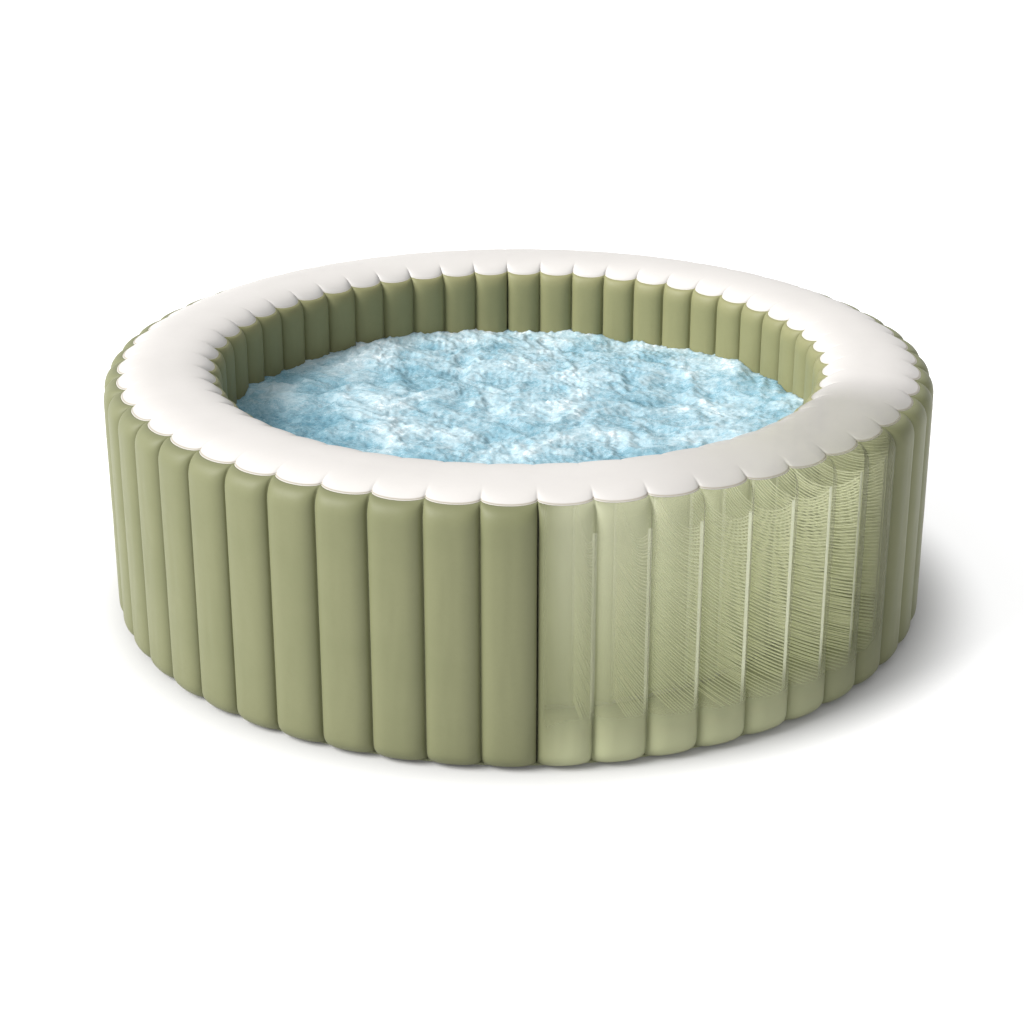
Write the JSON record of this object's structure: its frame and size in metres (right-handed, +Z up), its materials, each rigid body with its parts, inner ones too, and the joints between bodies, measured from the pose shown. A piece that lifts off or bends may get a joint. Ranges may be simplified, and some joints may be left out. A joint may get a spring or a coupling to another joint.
{
  "type": "inflatable hot tub",
  "caption": "Round inflatable hot tub with fluted inner and outer walls tied by radial thread webs, a crowned rim, padded floor, bubble ring, ports, drain and air valve.",
  "frame": {"origin": "centre of the underside", "axes": "+Z up along the tub's own axis, -Y towards the viewer, ports, drain and valve towards -X and +Y"},
  "size_m": [2.16, 2.16, 0.6698],
  "materials": {
    "wall_vinyl": "matte",
    "rim_vinyl": "satin",
    "base_vinyl": "matte",
    "strip_vinyl": "matte",
    "web_thread": "matte",
    "floor_foam": "matte",
    "floor_vinyl": "satin",
    "grey_plastic": "satin",
    "white_plastic": "satin",
    "dark_plastic": "satin",
    "seal_rubber": "matte",
    "steel": "satin"
  },
  "bodies": {
    "tub": {"outer_wall_panel_1": "wall_vinyl", "outer_wall_panel_2": "wall_vinyl", "outer_wall_panel_3": "wall_vinyl", "outer_wall_panel_4": "wall_vinyl", "inner_wall_panel_1": "wall_vinyl", "inner_wall_panel_2": "wall_vinyl", "inner_wall_panel_3": "wall_vinyl", "inner_wall_panel_4": "wall_vinyl", "web_outer_strips_1": "strip_vinyl", "web_outer_strips_2": "strip_vinyl", "web_outer_strips_3": "strip_vinyl", "web_outer_strips_4": "strip_vinyl", "web_inner_strips_1": "strip_vinyl", "web_inner_strips_2": "strip_vinyl", "web_inner_strips_3": "strip_vinyl", "web_inner_strips_4": "strip_vinyl", "web_threads_1": "web_thread", "web_threads_2": "web_thread", "web_threads_3": "web_thread", "web_threads_4": "web_thread", "top_rim": "rim_vinyl", "bottom_sheet": "base_vinyl", "floor_pad": "floor_foam", "floor_sheet": "floor_vinyl", "outlet_port_body": "grey_plastic", "outlet_port_gasket": "seal_rubber", "outlet_port_spigot": "grey_plastic", "outlet_port_screws": "steel", "inlet_port_body": "grey_plastic", "inlet_port_gasket": "seal_rubber", "inlet_port_spigot": "grey_plastic", "inlet_port_screws": "steel", "air_port_body": "grey_plastic", "air_port_gasket": "seal_rubber", "air_port_spigot": "grey_plastic", "air_port_screws": "steel", "air_elbow": "white_plastic", "bubble_ring": "white_plastic", "drain_body": "grey_plastic", "valve_body": "grey_plastic", "valve_spring": "steel", "valve_cover_pin": "steel"},
    "drain_washer": {"drain_cap_seal": "seal_rubber"},
    "drain_cap": {"drain_cap": "dark_plastic"},
    "drain_plug": {"drain_plug": "seal_rubber"},
    "outlet_strainer": {"outlet_strainer_cover": "white_plastic"},
    "inlet_strainer": {"inlet_strainer_cover": "white_plastic"},
    "valve_stem": {"valve_stem": "white_plastic"},
    "valve_cover": {"valve_cover": "dark_plastic"}
  },
  "joints": [
    {"name": "drain_cap_travel", "type": "slide", "parent": "tub", "child": "drain_washer", "axis": [-0.935, 0.3546, 0], "range_m": [0, 0.017]},
    {"name": "drain_cap_turn", "type": "hinge", "parent": "drain_washer", "child": "drain_cap", "pos_m": [-1.03413, 0.39219, 0.092], "axis": [-0.935, 0.3546, 0], "range_deg": [0, 1530]},
    {"name": "drain_plug_pull", "type": "slide", "parent": "tub", "child": "drain_plug", "axis": [0.935, -0.3546, 0], "range_m": [0, 0.03]},
    {"name": "outlet_strainer_pull", "type": "slide", "parent": "tub", "child": "outlet_strainer", "axis": [0.4647, -0.8855, 0], "range_m": [0, 0.03]},
    {"name": "inlet_strainer_pull", "type": "slide", "parent": "tub", "child": "inlet_strainer", "axis": [0.823, -0.5681, 0], "range_m": [0, 0.03]},
    {"name": "valve_push", "type": "slide", "parent": "tub", "child": "valve_stem", "axis": [0.2393, -0.9709, 0], "range_m": [0, 0.005], "stiffness_N_per_m": 400, "springref_m": -0.005, "deforming": ["valve_spring"]},
    {"name": "valve_cover_hinge", "type": "hinge", "parent": "tub", "child": "valve_cover", "pos_m": [-0.2599, 1.05444, 0.54], "axis": [0.9709, 0.2393, 0], "range_deg": [0, 160]}
  ],
  "couplings": [
    {"joint": "drain_cap_travel", "follows": "drain_cap_turn", "m_per_rad": 0.00063662}
  ]
}
